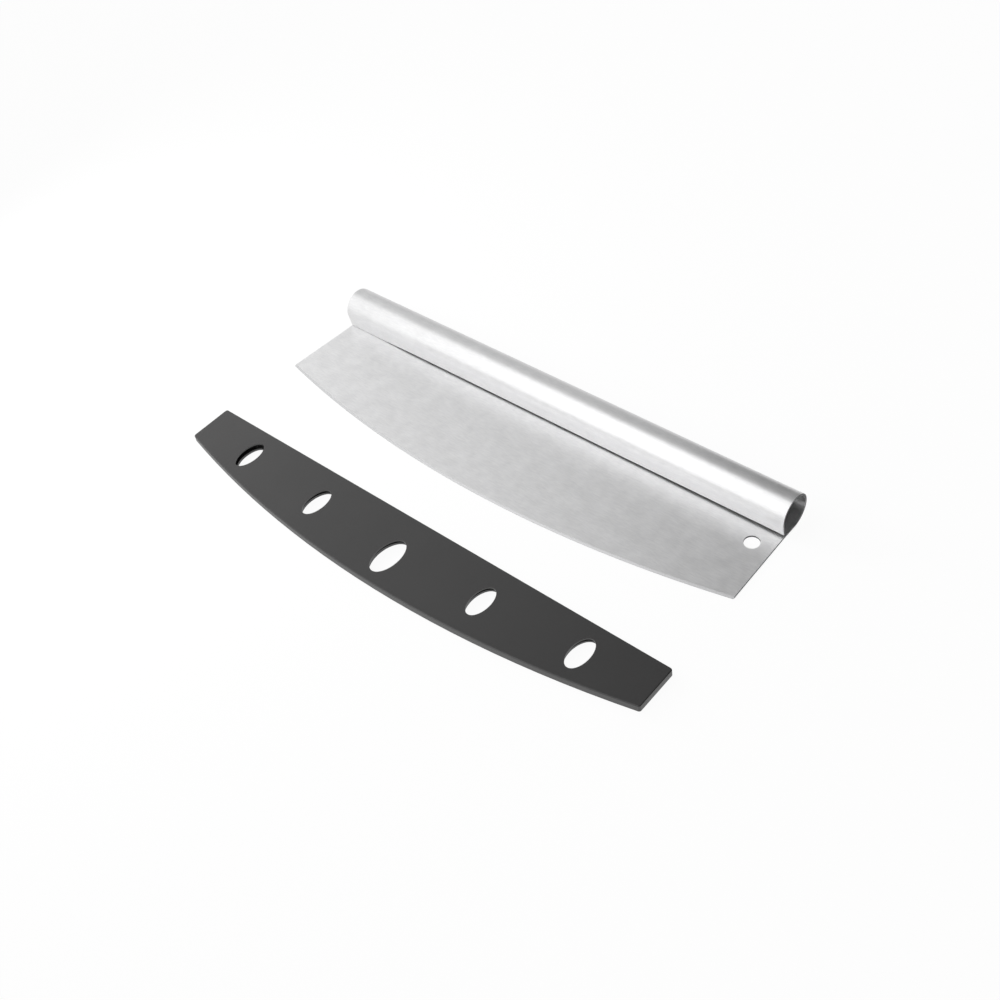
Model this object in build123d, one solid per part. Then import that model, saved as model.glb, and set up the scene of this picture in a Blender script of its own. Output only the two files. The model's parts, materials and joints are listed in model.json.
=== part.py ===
from build123d import *
from math import cos, radians, sin, sqrt, tan
import os

# A rocking pizza knife lying flat on a table, with its blade guard lying in front of it.
# X runs along the handle, Y from the cutting edge towards the handle, Z up from the table.
# The curved cutting edge faces the guard's open mouth.

# Knife: blade and handle, cut, ground and rolled from one stainless sheet
sheet_thickness = 1.2
handle_diameter = 23.4
front_wall_lean = 6.5  # degrees by which the handle's front wall leans in on its way down to the blade
seam_gap = 1.2  # between the rolled sheet's free edge and the blade's face
blade_chord = 350.0  # from corner to corner
left_flare = 4.1  # by which the blade's left corner stands out past the handle's end
right_flare = 1.3  # the same at the right, where the hanging hole is
blade_depth = 61.9  # from the handle's centre line to the corners
edge_sagitta = 19.9  # by which the cutting edge bows out past its corners
edge_bevel_width = 1.2
edge_land = 0.25  # thickness that grinding leaves at the cutting edge
hanging_hole_diameter = 9.4
hanging_hole_inset = 12.9  # from the blade's right side
hanging_hole_drop = 23.2  # from the handle's centre line

# Guard: moulded in one piece, with a pocket for the blade
guard_thickness = 5.0
guard_end_height = 28.6
guard_sagitta = 21.3
guard_end_wall = 2.0
guard_edge_wall = 2.0  # outside the blade's corners, across the guard
guard_top_wall = 1.0
guard_corner_radius = 1.6
guard_rim_radius = 0.6
guard_lip_radius = 0.2
window_pitch = 66.2
window_width = 12.4  # along the guard
window_length = 21.8  # across the guard
middle_window_width = 15.6
middle_window_length = 26.4
outer_window_drop = 19.9  # from the guard's mouth to the windows' middles
inner_window_drop = 23.9
middle_window_drop = 29.8
window_rim_radius = 0.3
underside_window_margin = 1.3  # by which a window is wider all round in the wall on the table
left_window_margin = 0.7  # by which the leftmost one is narrower there instead

# Fit of the blade in the guard, and how far apart the two lie
face_clearance = 0.2  # between the blade's faces and the pocket
edge_clearance = 0.6  # between the blade's outline and the pocket
rest_gap = 37.6  # from the lowest point of the cutting edge to the guard's mouth

# One margin by which every cutting shape runs past what it cuts
overrun = 5.0


def arc_radius(chord, sagitta):
    """Radius of the arc that has this chord and bows out this far."""
    return (chord**2 / 4 + sagitta**2) / (2 * sagitta)


# Places that follow from the knife's sizes, from the handle's centre line
handle_radius = handle_diameter / 2
handle_left = left_flare - blade_chord / 2
handle_right = blade_chord / 2 - right_flare
lean = radians(front_wall_lean)
edge_drop = blade_depth + edge_sagitta
edge_radius = arc_radius(blade_chord, edge_sagitta)
mouth_y = -edge_drop - rest_gap

# Pocket and guard, which follow from the blade's outline
pocket_half_length = blade_chord / 2 + edge_clearance
guard_half_length = pocket_half_length + guard_end_wall
bow_radius = arc_radius(2 * guard_half_length, guard_sagitta)
bow_at_corner = guard_sagitta - bow_radius + sqrt(bow_radius**2 - (blade_chord / 2) ** 2)
corner_depth = guard_end_height + bow_at_corner - guard_edge_wall - edge_clearance
pocket_depth = corner_depth + edge_sagitta + edge_clearance

# The knife's straight way into the guard: along the table, and up to the pocket's height
slide_along = rest_gap + edge_sagitta + corner_depth
slide_up = guard_thickness - guard_top_wall - face_clearance - sheet_thickness
slide_slope = slide_up / slide_along


def front_wall_top(radius):
    """Where the handle's round part goes over into its leaning front wall."""
    return (-radius * cos(lean), handle_radius - radius * sin(lean))


def front_wall_at(radius, height):
    """The point of the leaning front wall at this height."""
    top_y, top_z = front_wall_top(radius)
    return (top_y + (top_z - height) * tan(lean), height)


def rolled_section():
    """Section of the rolled sheet: flat blade, round back and the front wall down to its seam."""
    outer = handle_radius
    inner = handle_radius - sheet_thickness
    seam_z = sheet_thickness + seam_gap
    blade_end_y = -edge_drop - overrun
    outside = [
        Line((blade_end_y, 0), (0, 0)),
        ThreePointArc((0, 0), (outer, outer), (0, 2 * outer)),
        ThreePointArc((0, 2 * outer), (-outer, outer), front_wall_top(outer)),
        Line(front_wall_top(outer), front_wall_at(outer, seam_z)),
    ]
    inside = [
        Line(front_wall_at(inner, seam_z), front_wall_top(inner)),
        ThreePointArc(front_wall_top(inner), (-inner, outer), (0, outer + inner)),
        ThreePointArc((0, outer + inner), (inner, outer), (0, sheet_thickness)),
        Line((0, sheet_thickness), (blade_end_y, sheet_thickness)),
    ]
    seam_edge = Line(front_wall_at(outer, seam_z), front_wall_at(inner, seam_z))
    blade_end = Line((blade_end_y, sheet_thickness), (blade_end_y, 0))
    return Plane.YZ * make_face(Curve() + outside + [seam_edge] + inside + [blade_end])


def flare_start():
    """Where the blade begins to flare out, at the seam."""
    return front_wall_at(handle_radius, sheet_thickness)[0]


def blade_right_side(y):
    """Where the blade's right side is at this place between the seam and its corner."""
    flare_share = (flare_start() - y) / (flare_start() + blade_depth)
    return handle_right + flare_share * right_flare


def sheet_outline():
    """Plan of the cut sheet: square handle ends, blade ends that flare out, and the bowed edge."""
    blade_half = blade_chord / 2
    back_y = handle_radius + overrun
    sides = Polyline(
        (-blade_half, -blade_depth),
        (handle_left, flare_start()),
        (handle_left, back_y),
        (handle_right, back_y),
        (handle_right, flare_start()),
        (blade_half, -blade_depth),
    )
    edge = ThreePointArc((blade_half, -blade_depth), (0, -edge_drop), (-blade_half, -blade_depth))
    return make_face(Curve() + [sides, edge])


def edge_grinding():
    """The metal that grinding takes off the cutting edge, a wedge-shaped ring at each face."""
    bevel_depth = (sheet_thickness - edge_land) / 2
    start_radius = edge_radius - edge_bevel_width
    end_radius = edge_radius + overrun
    end_depth = bevel_depth * (edge_bevel_width + overrun) / edge_bevel_width
    centre_y = edge_radius - edge_drop
    wedge = Polyline(
        (start_radius, 0),
        (end_radius, end_depth),
        (end_radius, -overrun),
        (start_radius, -overrun),
        close=True,
    )
    across_edge = Plane((0, centre_y, 0), x_dir=(0, -1, 0), z_dir=(-1, 0, 0))
    lower = revolve(across_edge * make_face(wedge), Axis((0, centre_y, 0), (0, 0, 1)))
    upper = Pos(0, 0, sheet_thickness) * mirror(lower, Plane.XY)
    return lower, upper


def rolled_knife():
    """Blade and handle, one piece of sheet."""
    lower_grind, upper_grind = edge_grinding()
    sheet = extrude(rolled_section(), blade_chord / 2 + overrun, both=True)
    outline = extrude(sheet_outline(), handle_diameter + overrun, both=True)
    hole_x = blade_right_side(-hanging_hole_drop) - hanging_hole_inset
    hole_place = Pos(hole_x, -hanging_hole_drop)
    hole = hole_place * Cylinder(hanging_hole_diameter / 2, 2 * overrun)
    return (sheet & outline) - lower_grind - upper_grind - hole


def bowed_plan(half_length, straight_y, corner_y, sagitta):
    """Plan with a straight side, two square ends and a side that bows out between the corners."""
    sides = Polyline(
        (-half_length, corner_y),
        (-half_length, straight_y),
        (half_length, straight_y),
        (half_length, corner_y),
    )
    bow = ThreePointArc((half_length, corner_y), (0, corner_y - sagitta), (-half_length, corner_y))
    return make_face(Curve() + [sides, bow])


def guard_body():
    """The guard's outside, with rounded corners and rims."""
    plan = bowed_plan(guard_half_length, mouth_y, mouth_y - guard_end_height, guard_sagitta)
    body = extrude(plan, guard_thickness)
    body = fillet(body.edges().filter_by(Axis.Z), guard_corner_radius)
    levels = body.edges().group_by(Axis.Z)
    return fillet(levels[0] + levels[-1], guard_rim_radius)


def pocket():
    """Room for the blade: a level roof, and a floor that rises as the blade does on its way in."""
    start_y = mouth_y + overrun
    end_y = mouth_y - pocket_depth - overrun
    roof_z = guard_thickness - guard_top_wall
    lip_z = slide_slope * rest_gap - face_clearance
    side_view = Polyline(
        (start_y, lip_z - slide_slope * overrun),
        (start_y, roof_z),
        (end_y, roof_z),
        (end_y, lip_z + slide_slope * (pocket_depth + overrun)),
        close=True,
    )
    wedge = extrude(Plane.YZ * make_face(side_view), guard_half_length, both=True)
    corner_y = mouth_y - corner_depth - edge_clearance
    plan = bowed_plan(pocket_half_length, start_y, corner_y, edge_sagitta)
    return wedge & extrude(plan, guard_thickness)


def windows():
    """Oval holes through both walls. All but the leftmost are wider in the wall that lies on the table."""
    middle_z = guard_thickness / 2
    wider = underside_window_margin
    places = [
        (-2 * window_pitch, outer_window_drop, window_width, window_length, -left_window_margin),
        (-window_pitch, inner_window_drop, window_width, window_length, wider),
        (0, middle_window_drop, middle_window_width, middle_window_length, wider),
        (window_pitch, inner_window_drop, window_width, window_length, wider),
        (2 * window_pitch, outer_window_drop, window_width, window_length, wider),
    ]
    holes = []
    for along, drop, width, length, margin in places:
        place = Pos(along, mouth_y - drop, middle_z)
        upper = Ellipse(width / 2, length / 2)
        lower = Ellipse(width / 2 + margin, length / 2 + margin)
        holes.append(place * extrude(upper, middle_z + overrun))
        holes.append(place * extrude(lower, -middle_z - overrun))
    return holes


def blade_guard():
    """Moulded guard with its pocket, rounded mouth and windows."""
    guard = guard_body() - pocket()
    mouth = guard.faces().sort_by(Axis.Y)[-1]
    guard = fillet(mouth.inner_wires().edges(), guard_lip_radius)
    for hole in windows():
        guard -= hole
    top_rims = guard.edges().filter_by(GeomType.ELLIPSE).group_by(Axis.Z)[-1]
    return fillet(top_rims, window_rim_radius)


# The origin is on the table, under the middle of the knife and guard together
front_y = mouth_y - guard_end_height - guard_sagitta
to_origin = Pos(0, -(front_y + handle_radius) / 2)

os.makedirs("parts", exist_ok=True)
export_step(to_origin * rolled_knife(), "parts/rolled_knife.step")
export_step(to_origin * blade_guard(), "parts/blade_guard.step")
print("way into the guard: along", slide_along, "up", slide_up)
print("handle's centre line at", to_origin.position.Y, "guard's mouth at", mouth_y + to_origin.position.Y)
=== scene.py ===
import json
from math import atan2, cos, pi, radians, sin, tan

import bmesh
import bpy
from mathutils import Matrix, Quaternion, Vector


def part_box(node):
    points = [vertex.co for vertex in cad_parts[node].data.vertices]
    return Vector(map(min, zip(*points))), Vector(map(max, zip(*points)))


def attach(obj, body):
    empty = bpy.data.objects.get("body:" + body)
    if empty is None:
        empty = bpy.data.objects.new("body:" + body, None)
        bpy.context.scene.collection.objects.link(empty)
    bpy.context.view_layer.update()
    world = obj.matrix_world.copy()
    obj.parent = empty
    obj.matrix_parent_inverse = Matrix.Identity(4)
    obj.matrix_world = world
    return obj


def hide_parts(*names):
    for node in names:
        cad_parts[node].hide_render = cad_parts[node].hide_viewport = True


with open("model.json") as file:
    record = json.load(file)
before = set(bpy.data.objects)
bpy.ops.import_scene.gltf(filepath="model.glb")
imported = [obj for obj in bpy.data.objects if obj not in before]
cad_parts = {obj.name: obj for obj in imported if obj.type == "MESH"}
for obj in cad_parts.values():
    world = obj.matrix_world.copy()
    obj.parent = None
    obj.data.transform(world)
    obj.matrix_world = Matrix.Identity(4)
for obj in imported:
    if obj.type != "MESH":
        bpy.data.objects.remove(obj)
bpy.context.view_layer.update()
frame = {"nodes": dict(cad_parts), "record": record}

# A rocking pizza knife rolled from one stainless sheet, and the moulded guard that covers its edge.
# The knife lies on its back on a white table, with the guard in front of it.
mm = 0.001
noise_low, noise_high = 0.3, 0.7  # a noise texture seldom leaves this range

# What the frame says of the knife
mounts = {mount["name"]: mount for mount in frame["record"]["mounts"]}
bore, hanging_hole = mounts["handle_bore"], mounts["hanging_hole"]
handle_centre = Vector(bore["pos_m"])
bore_radius = bore["dims"]["r_mm"] * mm
handle_left = handle_centre.x - bore["dims"]["length_mm"] * mm / 2
handle_right = handle_centre.x + bore["dims"]["length_mm"] * mm / 2
handle_radius = handle_centre.z
sheet_thickness = handle_radius - bore_radius
hole_centre = Vector(hanging_hole["pos_m"])
hole_radius = hanging_hole["dims"]["r_mm"] * mm
knife_low, knife_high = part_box("rolled_knife")
blade_half_length = knife_high.x

# Sizes of the knife that a box can't give
blade_depth = 61.9 * mm  # from the handle's centre line to the blade's corners
front_wall_lean = radians(6.5)
seam_gap = 1.2 * mm  # between the rolled edge and the blade's face
seam_closed_gap = 0.08 * mm  # at the handle's left end, where the rolled edge lies on the blade
seam_closed_until = -150 * mm
seam_open_from = -105 * mm
seam_widens_from = 60 * mm
seam_right_gap = 1.75 * mm  # at the handle's right end
edge_bevel_width = 1.2 * mm
edge_land = 0.25 * mm  # thickness that grinding leaves at the cutting edge
sheared_edge_round = 0.12 * mm
point_tolerance = 0.001 * mm

# Places that follow from these
corner_y = handle_centre.y - blade_depth
edge_sagitta = corner_y - knife_low.y
edge_radius = (blade_half_length**2 + edge_sagitta**2) / (2 * edge_sagitta)
edge_centre = Vector((0, knife_low.y + edge_radius, 0))
roll_angle = 1.5 * pi + front_wall_lean
wall_top_y = handle_centre.y - handle_radius * cos(front_wall_lean)
wall_top_z = handle_centre.z - handle_radius * sin(front_wall_lean)
flare_y = wall_top_y + (wall_top_z - sheet_thickness) * tan(front_wall_lean)

# Materials of the sheet: its brushed faces have the first, then come its cut edges and its ground edge
sheared_slot, ground_slot = 1, 2

# Faces in the round stretches, and along the handle
handle_steps = 112
handle_lengths = 44
edge_steps = 96
hole_steps = 48

# Camera, fitted to the photograph: turned from straight in front towards the hanging hole, and tipped
camera_turn = radians(48.99)
camera_height_angle = radians(46.298)
camera_roll = radians(-11.125)
camera_aim = Vector((21.89, 1.82, 0)) * mm
camera_distance = 777.78 * mm
sensor_width = 36.0
image_width = 1000
focal_length_px = 1320.26


def linear(hex_colour):
    """Linear colour with alpha, of an sRGB hex value such as 8A8C90."""
    shares = [int(hex_colour[i:i + 2], 16) / 255 for i in (0, 2, 4)]
    return [s / 12.92 if s <= 0.04045 else ((s + 0.055) / 1.055) ** 2.4 for s in shares] + [1]


def add_node(tree, kind, settings={}, values={}, links={}, stops={}):
    """Adds a node with its settings, its sockets' values, the sockets that feed it and a ramp's stops."""
    node = tree.nodes.new("ShaderNode" + kind)
    for name, setting in settings.items():
        setattr(node, name, setting)
    for number, (position, colour) in enumerate(stops.items()):
        ramp = node.color_ramp.elements
        stop = ramp[number] if number < len(ramp) else ramp.new(position)
        stop.position, stop.color = position, colour
    for socket, value in values.items():
        node.inputs[socket].default_value = value
    for socket, source in links.items():
        tree.links.new(source, node.inputs[socket])
    return node


def new_material(name):
    """An empty material and its node tree."""
    material = bpy.data.materials.new(name)
    material.use_nodes = True
    material.node_tree.nodes.clear()
    return material, material.node_tree


def finish_material(tree, shader):
    """Joins a shader to the material's output."""
    add_node(tree, "OutputMaterial", links={"Surface": shader})


def brushed_stainless():
    """Stainless sheet, brushed with a belt along the handle: fine lines that spread highlights across. The
    rolled handle's colour carries painted shade.
    """
    line_spacing = 0.7 * mm  # real grit leaves lines about 0.05 mm apart, too fine to show
    line_length = 4.5 * mm
    cloud_size = 9 * mm  # patches where the belt pressed more or less
    least_roughness, most_roughness = 0.345, 0.39
    darkest_patch, lightest_patch = 0.96, 1.035
    blade_extra_roughness = 0.05  # the flat blade is brushed harder than the rolled handle
    handle_painted_shade = 0.86  # painted shade: the rolled handle's colour is made darker than the blade's, though both are one sheet
    finish_and_shade_change = 10 * mm  # over this width the handle's roughness and painted shade go over into the blade's
    material, tree = new_material("brushed_stainless_sheet")
    place = add_node(tree, "TexCoord")
    stretch = add_node(
        tree, "Mapping",
        values={"Scale": (1 / line_length, 1 / line_spacing, 1 / line_spacing)},
        links={"Vector": place.outputs["Object"]},
    )
    lines = add_node(
        tree, "TexNoise",
        values={"Scale": 1, "Detail": 3, "Roughness": 0.6},
        links={"Vector": stretch.outputs["Vector"]},
    )
    clouds = add_node(
        tree, "TexNoise",
        values={"Scale": 1 / cloud_size, "Detail": 5},
        links={"Vector": place.outputs["Object"]},
    )
    line_tone = add_node(
        tree, "ValToRGB",
        links={"Fac": lines.outputs["Fac"]},
        stops={noise_low: linear("EAEAEB"), noise_high: linear("F4F4F4")},
    )
    belt_marks, patches = [
        add_node(
            tree, "MapRange",
            values={"From Min": noise_low, "From Max": noise_high, "To Min": least, "To Max": most},
            links={"Value": clouds.outputs["Fac"]},
        )
        for least, most in ((least_roughness, most_roughness), (darkest_patch, lightest_patch))
    ]
    sheet_map = add_node(tree, "UVMap", settings={"uv_map": "sheet"})
    across = add_node(tree, "SeparateXYZ", links={"Vector": sheet_map.outputs["UV"]})
    # the blade's extra roughness, and the painted shade that darkens the handle
    extra_roughness, shade = [
        add_node(
            tree, "MapRange",
            values={"From Min": 0, "From Max": -finish_and_shade_change, "To Min": on_handle, "To Max": on_blade},
            links={"Value": across.outputs["X"]},
        )
        for on_handle, on_blade in ((0, blade_extra_roughness), (handle_painted_shade, 1))
    ]
    roughness = add_node(
        tree, "Math", settings={"operation": "ADD"},
        links={0: belt_marks.outputs["Result"], 1: extra_roughness.outputs["Result"]},
    )
    # random belt patches times the handle's painted shade
    patch_shade = add_node(
        tree, "Math", settings={"operation": "MULTIPLY"},
        links={0: shade.outputs["Result"], 1: patches.outputs["Result"]},
    )
    tone = add_node(
        tree, "Mix", settings={"data_type": "RGBA", "blend_type": "MULTIPLY"},
        values={0: 1}, links={6: line_tone.outputs["Color"], 7: patch_shade.outputs["Value"]},
    )
    bump = add_node(
        tree, "Bump",
        values={"Strength": 0.09, "Distance": 0.02 * mm},
        links={"Height": lines.outputs["Fac"]},
    )
    grain_direction = add_node(tree, "Tangent", settings={"direction_type": "UV_MAP", "uv_map": "sheet"})
    steel = add_node(
        tree, "BsdfPrincipled",
        values={"Metallic": 1, "Anisotropic": 0.35},
        links={
            "Base Color": tone.outputs[2],
            "Roughness": roughness.outputs["Value"],
            "Normal": bump.outputs["Normal"],
            "Tangent": grain_direction.outputs["Tangent"],
        },
    )
    finish_material(tree, steel.outputs["BSDF"])
    return material


def sheared_and_shaded_stainless():
    """The sheet's cut edges, left as the press sheared them: dull, with a coarse drag grain, and partly
    painted shade, their tone set well below steel's.
    """
    drag_spacing = 0.3 * mm
    material, tree = new_material("sheared_and_shaded_stainless_edge")
    place = add_node(tree, "TexCoord")
    drag = add_node(
        tree, "TexNoise",
        values={"Scale": 1 / drag_spacing, "Detail": 2},
        links={"Vector": place.outputs["Object"]},
    )
    # painted shade: the cut edges' grey is set far darker than bare steel, standing in for the shade on these
    # narrow faces
    tone = add_node(
        tree, "ValToRGB",
        links={"Fac": drag.outputs["Fac"]},
        stops={noise_low: linear("4C4C4E"), noise_high: linear("6C6C6C")},
    )
    steel = add_node(
        tree, "BsdfPrincipled",
        values={"Metallic": 1, "Roughness": 0.5},
        links={"Base Color": tone.outputs["Color"]},
    )
    finish_material(tree, steel.outputs["BSDF"])
    return material


def ground_stainless():
    """The cutting edge, ground across its line on a wheel: short marks that dull it."""
    mark_spacing = 0.4 * mm
    material, tree = new_material("ground_stainless_edge")
    place = add_node(tree, "TexCoord")
    marks = add_node(
        tree, "TexNoise",
        values={"Scale": 1 / mark_spacing, "Detail": 2},
        links={"Vector": place.outputs["Object"]},
    )
    tone = add_node(
        tree, "ValToRGB",
        links={"Fac": marks.outputs["Fac"]},
        stops={noise_low: linear("C6C6C7"), noise_high: linear("D6D6D7")},
    )
    steel = add_node(
        tree, "BsdfPrincipled",
        values={"Metallic": 1, "Roughness": 0.45},
        links={"Base Color": tone.outputs["Color"]},
    )
    finish_material(tree, steel.outputs["BSDF"])
    return material


def moulded_polypropylene():
    """Charcoal polypropylene, injection moulded in a finely spark-eroded mould: satin, with a soft sheen."""
    grain_size = 0.6 * mm  # the real grain is about 0.1 mm, too fine to show
    flow_size = 30 * mm  # the tone drifts a little with the way the plastic flowed
    least_roughness, most_roughness = 0.36, 0.46
    material, tree = new_material("moulded_polypropylene")
    place = add_node(tree, "TexCoord")
    grain = add_node(
        tree, "TexNoise",
        values={"Scale": 1 / grain_size, "Detail": 3, "Roughness": 0.6},
        links={"Vector": place.outputs["Object"]},
    )
    flow = add_node(
        tree, "TexNoise",
        values={"Scale": 1 / flow_size, "Detail": 2},
        links={"Vector": place.outputs["Object"]},
    )
    tone = add_node(
        tree, "ValToRGB",
        links={"Fac": flow.outputs["Fac"]},
        stops={noise_low: linear("1A1919"), noise_high: linear("1E1D1D")},
    )
    roughness = add_node(
        tree, "MapRange",
        values={
            "From Min": noise_low, "From Max": noise_high,
            "To Min": least_roughness, "To Max": most_roughness,
        },
        links={"Value": grain.outputs["Fac"]},
    )
    bump = add_node(
        tree, "Bump",
        values={"Strength": 0.15, "Distance": 0.05 * mm},
        links={"Height": grain.outputs["Fac"]},
    )
    plastic = add_node(
        tree, "BsdfPrincipled",
        values={"IOR": 1.49, "Specular IOR Level": 1.0},
        links={
            "Base Color": tone.outputs["Color"],
            "Roughness": roughness.outputs["Result"],
            "Normal": bump.outputs["Normal"],
        },
    )
    finish_material(tree, plastic.outputs["BSDF"])
    return material


def corner_above(corner, flare, width):
    """Where a side of the blade, from its corner up to its flare, is this far in from the cutting edge."""
    up_side = (flare - corner).normalized()
    inward = (edge_centre - corner).normalized()
    return corner + up_side * width / up_side.dot(inward)


def draw_arc(bm, start, centre, angle, steps):
    """Draws an arc flat on the table, and gives its two ends and its edges."""
    earlier = set(bm.edges)
    first = bm.verts.new(start)
    way = bmesh.ops.spin(bm, geom=[first], cent=centre, axis=(0, 0, 1), angle=angle, steps=steps)
    last = [v for v in way["geom_last"] if isinstance(v, bmesh.types.BMVert)][0]
    return (first, last), [e for e in bm.edges if e not in earlier]


def draw_cutting_edge(bm):
    """Draws the cutting edge and, along it, the strip that is ground."""
    corners = [
        (Vector((corner_x, corner_y, 0)), Vector((flare_x, flare_y, 0)))
        for corner_x, flare_x in ((blade_half_length, handle_right), (-blade_half_length, handle_left))
    ]
    arcs = []
    for width in (0, edge_bevel_width):
        right, left = [corner_above(corner, flare, width) for corner, flare in corners]
        swing = -atan2(right.x, edge_centre.y - right.y) + atan2(left.x, edge_centre.y - left.y)
        arcs.append(draw_arc(bm, right, edge_centre, swing, edge_steps))
    (_, edge_line), (strip_ends, strip_line) = arcs
    strip = bmesh.ops.bridge_loops(bm, edges=edge_line + strip_line)["faces"]
    return edge_line, strip_line, strip_ends, strip


def draw_blade(bm, strip_line, strip_ends):
    """Draws the blade from the ground strip back to the line where the roll begins, with its hanging hole."""
    outline = list(strip_line)
    roll_ends = []
    for x, low in zip((handle_right, handle_left), strip_ends):
        flare = bm.verts.new((x, flare_y, 0))
        end = bm.verts.new((x, handle_centre.y, 0))
        outline += [bm.edges.new((low, flare)), bm.edges.new((flare, end))]
        roll_ends.append(end)
    roll_line = bm.edges.new(roll_ends)
    hole = bmesh.ops.create_circle(bm, segments=hole_steps, radius=hole_radius)["verts"]
    bmesh.ops.translate(bm, verts=hole, vec=(hole_centre.x, hole_centre.y, 0))
    hole_line = list({e for v in hole for e in v.link_edges})
    bmesh.ops.triangle_fill(bm, edges=outline + [roll_line] + hole_line, use_beauty=True, use_dissolve=True)
    return roll_line


def seam_gap_at(x):
    """The rolled edge lies on the blade at the handle's left end and springs open towards the right."""
    share = min(max((x - seam_closed_until) / (seam_open_from - seam_closed_until), 0), 1)
    gap = seam_closed_gap + (seam_gap - seam_closed_gap) * share**2 * (3 - 2 * share)
    widening = max(x - seam_widens_from, 0) / (handle_right - seam_widens_from)
    return gap + (seam_right_gap - seam_gap) * widening


def roll_handle(bm, roll_line):
    """Rolls the sheet up behind the blade, and brings its front wall down to the seam."""
    bmesh.ops.subdivide_edges(bm, edges=[roll_line], cuts=handle_lengths - 1)
    roll_lines = [
        e for e in bm.edges if all(abs(v.co.y - handle_centre.y) < point_tolerance for v in e.verts)
    ]
    roll_points = list({v for e in roll_lines for v in e.verts})
    rolled = bmesh.ops.spin(
        bm, geom=roll_points + roll_lines, cent=handle_centre, axis=(1, 0, 0),
        angle=roll_angle, steps=handle_steps,
    )["geom_last"]
    wall_line = [e for e in rolled if isinstance(e, bmesh.types.BMEdge)]
    wall = bmesh.ops.extrude_edge_only(bm, edges=wall_line)["geom"]
    for vertex in wall:
        if isinstance(vertex, bmesh.types.BMVert):
            drop = wall_top_z - sheet_thickness - seam_gap_at(vertex.co.x)
            vertex.co += Vector((0, drop * tan(front_wall_lean), -drop))


def turn_outwards(bm):
    """Turns the sheet's outer face out, so that the blade's looks down at the table."""
    nearly_level = 0.99
    bmesh.ops.recalc_face_normals(bm, faces=bm.faces)
    blade = max(bm.faces, key=lambda f: f.calc_area() if abs(f.normal.z) > nearly_level else 0)
    if blade.normal.z > 0:
        bmesh.ops.reverse_faces(bm, faces=bm.faces)


def length_across_sheet(point):
    """How far a point of the outer face lies behind the line where the roll begins, along the sheet."""
    if point.z < sheet_thickness and point.y <= handle_centre.y:
        return point.y - handle_centre.y
    if point.y < handle_centre.y and point.z < wall_top_z:
        return handle_radius * roll_angle + (wall_top_z - point.z) / cos(front_wall_lean)
    angle = atan2(point.y - handle_centre.y, handle_centre.z - point.z)
    return handle_radius * (angle % (2 * pi))


def lay_grain(bm):
    """Gives each point its place on the flat sheet, across it and along the handle."""
    sheet_map = bm.loops.layers.uv.new("sheet")
    for face in bm.faces:
        for loop in face.loops:
            loop[sheet_map].uv = (length_across_sheet(loop.vert.co), loop.vert.co.x)


def give_thickness(knife, edge_points):
    """Gives the sheet its thickness, less at the cutting edge, and takes the sharpness off its cut edges."""
    full = knife.vertex_groups.new(name="full_thickness")
    full.add([v.index for v in knife.data.vertices], 1, "REPLACE")
    full.add(edge_points, edge_land / sheet_thickness, "REPLACE")
    thickness = knife.modifiers.new("sheet_thickness", "SOLIDIFY")
    thickness.thickness = sheet_thickness
    thickness.offset = -1
    thickness.use_even_offset = True
    thickness.vertex_group = full.name
    thickness.material_offset_rim = sheared_slot
    rounds = knife.modifiers.new("sheared_edges", "BEVEL")
    rounds.width = sheared_edge_round
    rounds.segments = 2
    rounds.limit_method = "ANGLE"
    rounds.angle_limit = radians(40)
    rounds.harden_normals = True


def rolled_knife():
    """Blade and handle: the sheet's outer face is drawn flat, rolled up at the back and made thick."""
    bm = bmesh.new()
    edge_line, strip_line, strip_ends, strip = draw_cutting_edge(bm)
    roll_handle(bm, draw_blade(bm, strip_line, strip_ends))
    edge_points = {v for e in edge_line for v in e.verts}
    bmesh.ops.translate(bm, verts=list(edge_points), vec=(0, 0, (sheet_thickness - edge_land) / 2))
    for face in strip:
        face.material_index = ground_slot
    turn_outwards(bm)
    lay_grain(bm)
    for face in bm.faces:
        face.smooth = True
    for line in strip_line:
        line.smooth = False
    bm.verts.index_update()
    edge_numbers = [v.index for v in bm.verts if v in edge_points]

    mesh = bpy.data.meshes.new("rolled_sheet_knife")
    bm.to_mesh(mesh)
    bm.free()
    for material in (brushed_stainless(), sheared_and_shaded_stainless(), ground_stainless()):
        mesh.materials.append(material)
    knife = bpy.data.objects.new("rolled_sheet_knife", mesh)
    bpy.context.scene.collection.objects.link(knife)
    give_thickness(knife, edge_numbers)
    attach(knife, "knife")
    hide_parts("rolled_knife")


def dress_guard():
    """The guard keeps its shape and gets its moulded finish."""
    guard = frame["nodes"]["blade_guard"]
    guard.material_slots[0].material = moulded_polypropylene()


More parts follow.
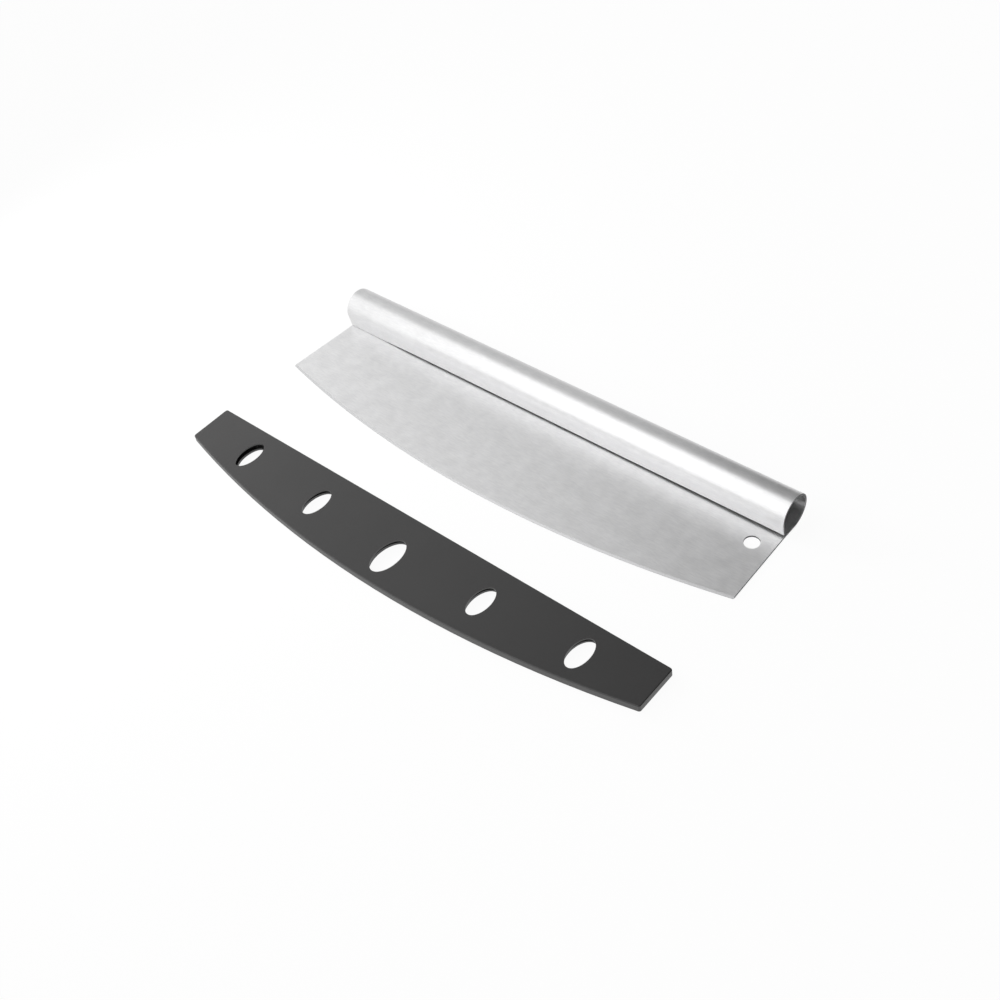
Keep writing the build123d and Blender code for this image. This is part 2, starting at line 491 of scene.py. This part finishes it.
def white_table():
    """A white sweep under the object. It shows as plain white and keeps a trace of the object's shadow."""
    half_size = 6.0  # in metres
    gap = 0.05 * mm  # below the object's flat faces
    shadow_share = 0.05
    material, tree = new_material("white_table_paint")
    path = add_node(tree, "LightPath")
    seen = add_node(
        tree, "Math", settings={"operation": "MAXIMUM"},
        links={0: path.outputs["Is Camera Ray"], 1: path.outputs["Is Glossy Ray"]},
    )
    seen_plain = add_node(
        tree, "Math", settings={"operation": "MAXIMUM"},
        links={0: seen.outputs["Value"], 1: path.outputs["Is Transmission Ray"]},
    )
    share = add_node(
        tree, "Math", settings={"operation": "MULTIPLY"},
        values={1: 1 - shadow_share},
        links={0: seen_plain.outputs["Value"]},
    )
    paint = add_node(tree, "BsdfDiffuse", values={"Color": linear("FAFAFA")})
    plain = add_node(tree, "Emission", values={"Color": linear("FFFFFF"), "Strength": 1})
    surface = add_node(
        tree, "MixShader",
        links={0: share.outputs["Value"], 1: paint.outputs["BSDF"], 2: plain.outputs["Emission"]},
    )
    finish_material(tree, surface.outputs["Shader"])
    bm = bmesh.new()
    bmesh.ops.create_grid(bm, x_segments=1, y_segments=1, size=half_size)
    bmesh.ops.translate(bm, verts=bm.verts, vec=(0, 0, -gap))
    mesh = bpy.data.meshes.new("table")
    bm.to_mesh(mesh)
    bm.free()
    mesh.materials.append(material)
    table = bpy.data.objects.new("table", mesh)
    bpy.context.scene.collection.objects.link(table)


def studio():
    """A pale studio. Its light falls off to the right, and its back is greyer than its front."""
    full_level = 2.0
    back_edge, front_edge = 0.13, 0.04  # how far back a direction points, where the front's light fades out
    # Shares of the full level, by how far to the right a direction points
    front_shares = {
        -1.0: 0.5, -0.8: 0.5, -0.66: 0.47, -0.57: 0.82, -0.47: 1.0, -0.41: 0.96,
        -0.36: 0.93, -0.1: 0.26, 1.0: 0.12,
    }
    back_shares = {
        -1.0: 0.75, -0.8: 0.67, -0.7: 0.45, -0.65: 0.3, -0.58: 0.33, -0.52: 0.385, -0.46: 0.375,
        -0.42: 0.315, -0.36: 0.07, 0.0: 0.07, 1.0: 0.1,
    }
    world = bpy.data.worlds.new("studio")
    world.use_nodes = True
    tree = world.node_tree
    tree.nodes.clear()
    direction = add_node(tree, "TexCoord")
    along = add_node(tree, "SeparateXYZ", links={"Vector": direction.outputs["Generated"]})
    sideways = add_node(
        tree, "MapRange",
        values={"From Min": -1, "From Max": 1}, links={"Value": along.outputs["X"]},
    )
    front, back = [
        add_node(
            tree, "ValToRGB",
            links={"Fac": sideways.outputs["Result"]},
            stops={(x + 1) / 2: (share, share, share, 1) for x, share in shares.items()},
        )
        for shares in (front_shares, back_shares)
    ]
    front_share = add_node(
        tree, "MapRange", settings={"interpolation_type": "SMOOTHSTEP"},
        values={"From Min": back_edge, "From Max": front_edge},
        links={"Value": along.outputs["Y"]},
    )
    walls = add_node(
        tree, "Mix", settings={"data_type": "RGBA"},
        links={0: front_share.outputs["Result"], 6: back.outputs["Color"], 7: front.outputs["Color"]},
    )
    light = add_node(
        tree, "Background",
        values={"Strength": full_level}, links={"Color": walls.outputs[2]},
    )
    add_node(tree, "OutputWorld", links={"Surface": light.outputs["Background"]})
    bpy.context.scene.world = world


def soft_box(name, towards, distance, width, depth, radiance):
    """A lamp that looks at the object from this direction, with sizes in metres. Nothing mirrors it."""
    lamp = bpy.data.lights.new(name, "AREA")
    lamp.shape = "RECTANGLE"
    lamp.size = width
    lamp.size_y = depth
    lamp.energy = radiance * pi * width * depth
    box = bpy.data.objects.new(name, lamp)
    back = Vector(towards).normalized()
    box.location = back * distance
    box.rotation_mode = "QUATERNION"
    box.rotation_quaternion = back.to_track_quat("Z", "Y")
    box.visible_glossy = False
    bpy.context.scene.collection.objects.link(box)


def photograph_camera():
    """The photograph's view of the object."""
    back = Vector((
        sin(camera_turn) * cos(camera_height_angle),
        -cos(camera_turn) * cos(camera_height_angle),
        sin(camera_height_angle),
    ))
    lens = bpy.data.cameras.new("camera")
    lens.sensor_fit = "HORIZONTAL"
    lens.sensor_width = sensor_width
    lens.lens = focal_length_px * sensor_width / image_width
    lens.clip_start = 0.01
    camera = bpy.data.objects.new("camera", lens)
    camera.location = camera_aim + back * camera_distance
    camera.rotation_mode = "QUATERNION"
    camera.rotation_quaternion = back.to_track_quat("Z", "Y") @ Quaternion((0, 0, 1), camera_roll)
    bpy.context.scene.collection.objects.link(camera)
    bpy.context.scene.camera = camera


photograph_camera()
studio()
soft_box("left_soft_box", towards=(-0.42, -0.1, 0.2), distance=0.48, width=0.2, depth=0.2, radiance=18)
white_table()
rolled_knife()
dress_guard()
bpy.context.scene.view_settings.view_transform = "Standard"
